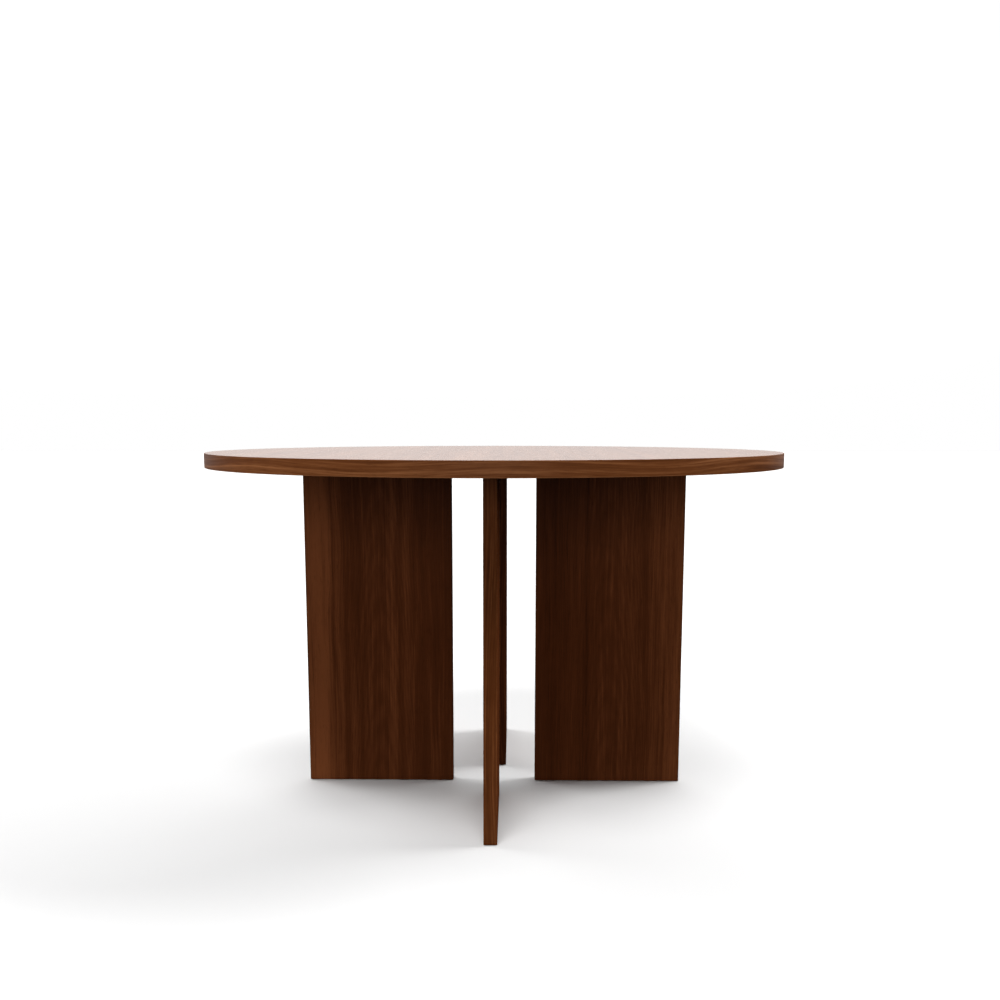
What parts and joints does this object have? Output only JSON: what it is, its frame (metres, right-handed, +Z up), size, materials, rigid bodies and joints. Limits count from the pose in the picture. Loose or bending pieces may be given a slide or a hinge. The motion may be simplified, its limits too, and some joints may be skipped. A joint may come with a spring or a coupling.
{
  "type": "round dining table",
  "caption": "Round walnut-veneered dining table with a fixed top on separate slab legs that stand crosswise round an open centre.",
  "frame": {"origin": "centre of the bounding box's base: the point on the floor under the middle of the round top, with the feet screwed in", "axes": "+Z up; the legs stand along +X (right), +Y (rear), -X (left) and -Y (front)"},
  "size_m": [1.243, 1.243, 0.75],
  "materials": {
    "walnut_top": "satin",
    "walnut_veneer": "satin",
    "walnut_band": "satin",
    "walnut_backing": "matte",
    "board_core": "matte",
    "plate_steel": "satin",
    "zinc_hardware": "satin",
    "brass_insert": "satin",
    "nylon_pad": "matte"
  },
  "bodies": {
    "table": {"tabletop_core": "board_core", "tabletop_veneer": "walnut_top", "tabletop_backing_veneer": "walnut_backing", "tabletop_edge_band": "walnut_band", "tabletop_inserts": "brass_insert", "right_leg_core": "board_core", "right_leg_veneer_a": "walnut_veneer", "right_leg_veneer_b": "walnut_veneer", "right_leg_inner_band": "walnut_band", "right_leg_outer_band": "walnut_band", "right_leg_plate": "plate_steel", "right_leg_inserts": "brass_insert", "right_leg_screws": "zinc_hardware", "right_leg_bolts": "zinc_hardware", "rear_leg_core": "board_core", "rear_leg_veneer_a": "walnut_veneer", "rear_leg_veneer_b": "walnut_veneer", "rear_leg_inner_band": "walnut_band", "rear_leg_outer_band": "walnut_band", "rear_leg_plate": "plate_steel", "rear_leg_inserts": "brass_insert", "rear_leg_screws": "zinc_hardware", "rear_leg_bolts": "zinc_hardware", "left_leg_core": "board_core", "left_leg_veneer_a": "walnut_veneer", "left_leg_veneer_b": "walnut_veneer", "left_leg_inner_band": "walnut_band", "left_leg_outer_band": "walnut_band", "left_leg_plate": "plate_steel", "left_leg_inserts": "brass_insert", "left_leg_screws": "zinc_hardware", "left_leg_bolts": "zinc_hardware", "front_leg_core": "board_core", "front_leg_veneer_a": "walnut_veneer", "front_leg_veneer_b": "walnut_veneer", "front_leg_inner_band": "walnut_band", "front_leg_outer_band": "walnut_band", "front_leg_plate": "plate_steel", "front_leg_inserts": "brass_insert", "front_leg_screws": "zinc_hardware", "front_leg_bolts": "zinc_hardware"},
    "right_inner_pad": {"right_inner_foot_pad": "nylon_pad"},
    "right_inner_stud": {"right_inner_foot_stud": "zinc_hardware"},
    "right_outer_pad": {"right_outer_foot_pad": "nylon_pad"},
    "right_outer_stud": {"right_outer_foot_stud": "zinc_hardware"},
    "rear_inner_pad": {"rear_inner_foot_pad": "nylon_pad"},
    "rear_inner_stud": {"rear_inner_foot_stud": "zinc_hardware"},
    "rear_outer_pad": {"rear_outer_foot_pad": "nylon_pad"},
    "rear_outer_stud": {"rear_outer_foot_stud": "zinc_hardware"},
    "left_inner_pad": {"left_inner_foot_pad": "nylon_pad"},
    "left_inner_stud": {"left_inner_foot_stud": "zinc_hardware"},
    "left_outer_pad": {"left_outer_foot_pad": "nylon_pad"},
    "left_outer_stud": {"left_outer_foot_stud": "zinc_hardware"},
    "front_inner_pad": {"front_inner_foot_pad": "nylon_pad"},
    "front_inner_stud": {"front_inner_foot_stud": "zinc_hardware"},
    "front_outer_pad": {"front_outer_foot_pad": "nylon_pad"},
    "front_outer_stud": {"front_outer_foot_stud": "zinc_hardware"}
  },
  "joints": [
    {"name": "right_inner_pad_slide", "type": "slide", "parent": "table", "child": "right_inner_pad", "axis": [0, 0, -1], "range_m": [0, 0.0075]},
    {"name": "right_inner_stud_turn", "type": "hinge", "parent": "right_inner_pad", "child": "right_inner_stud", "pos_m": [0.1385, 0, 0], "axis": [0, 0, -1], "range_deg": [0, 2160]},
    {"name": "right_outer_pad_slide", "type": "slide", "parent": "table", "child": "right_outer_pad", "axis": [0, 0, -1], "range_m": [0, 0.0075]},
    {"name": "right_outer_stud_turn", "type": "hinge", "parent": "right_outer_pad", "child": "right_outer_stud", "pos_m": [0.3775, 0, 0], "axis": [0, 0, -1], "range_deg": [0, 2160]},
    {"name": "rear_inner_pad_slide", "type": "slide", "parent": "table", "child": "rear_inner_pad", "axis": [0, 0, -1], "range_m": [0, 0.0075]},
    {"name": "rear_inner_stud_turn", "type": "hinge", "parent": "rear_inner_pad", "child": "rear_inner_stud", "pos_m": [0.0135, 0.152, 0], "axis": [0, 0, -1], "range_deg": [0, 2160]},
    {"name": "rear_outer_pad_slide", "type": "slide", "parent": "table", "child": "rear_outer_pad", "axis": [0, 0, -1], "range_m": [0, 0.0075]},
    {"name": "rear_outer_stud_turn", "type": "hinge", "parent": "rear_outer_pad", "child": "rear_outer_stud", "pos_m": [0.0135, 0.391, 0], "axis": [0, 0, -1], "range_deg": [0, 2160]},
    {"name": "left_inner_pad_slide", "type": "slide", "parent": "table", "child": "left_inner_pad", "axis": [0, 0, -1], "range_m": [0, 0.0075]},
    {"name": "left_inner_stud_turn", "type": "hinge", "parent": "left_inner_pad", "child": "left_inner_stud", "pos_m": [-0.1385, 0, 0], "axis": [0, 0, -1], "range_deg": [0, 2160]},
    {"name": "left_outer_pad_slide", "type": "slide", "parent": "table", "child": "left_outer_pad", "axis": [0, 0, -1], "range_m": [0, 0.0075]},
    {"name": "left_outer_stud_turn", "type": "hinge", "parent": "left_outer_pad", "child": "left_outer_stud", "pos_m": [-0.3775, 0, 0], "axis": [0, 0, -1], "range_deg": [0, 2160]},
    {"name": "front_inner_pad_slide", "type": "slide", "parent": "table", "child": "front_inner_pad", "axis": [0, 0, -1], "range_m": [0, 0.0075]},
    {"name": "front_inner_stud_turn", "type": "hinge", "parent": "front_inner_pad", "child": "front_inner_stud", "pos_m": [0, -0.1385, 0], "axis": [0, 0, -1], "range_deg": [0, 2160]},
    {"name": "front_outer_pad_slide", "type": "slide", "parent": "table", "child": "front_outer_pad", "axis": [0, 0, -1], "range_m": [0, 0.0075]},
    {"name": "front_outer_stud_turn", "type": "hinge", "parent": "front_outer_pad", "child": "front_outer_stud", "pos_m": [0, -0.3775, 0], "axis": [0, 0, -1], "range_deg": [0, 2160]}
  ],
  "couplings": [
    {"joint": "right_inner_pad_slide", "follows": "right_inner_stud_turn", "m_per_rad": 0.00019894},
    {"joint": "right_outer_pad_slide", "follows": "right_outer_stud_turn", "m_per_rad": 0.00019894},
    {"joint": "rear_inner_pad_slide", "follows": "rear_inner_stud_turn", "m_per_rad": 0.00019894},
    {"joint": "rear_outer_pad_slide", "follows": "rear_outer_stud_turn", "m_per_rad": 0.00019894},
    {"joint": "left_inner_pad_slide", "follows": "left_inner_stud_turn", "m_per_rad": 0.00019894},
    {"joint": "left_outer_pad_slide", "follows": "left_outer_stud_turn", "m_per_rad": 0.00019894},
    {"joint": "front_inner_pad_slide", "follows": "front_inner_stud_turn", "m_per_rad": 0.00019894},
    {"joint": "front_outer_pad_slide", "follows": "front_outer_stud_turn", "m_per_rad": 0.00019894}
  ]
}
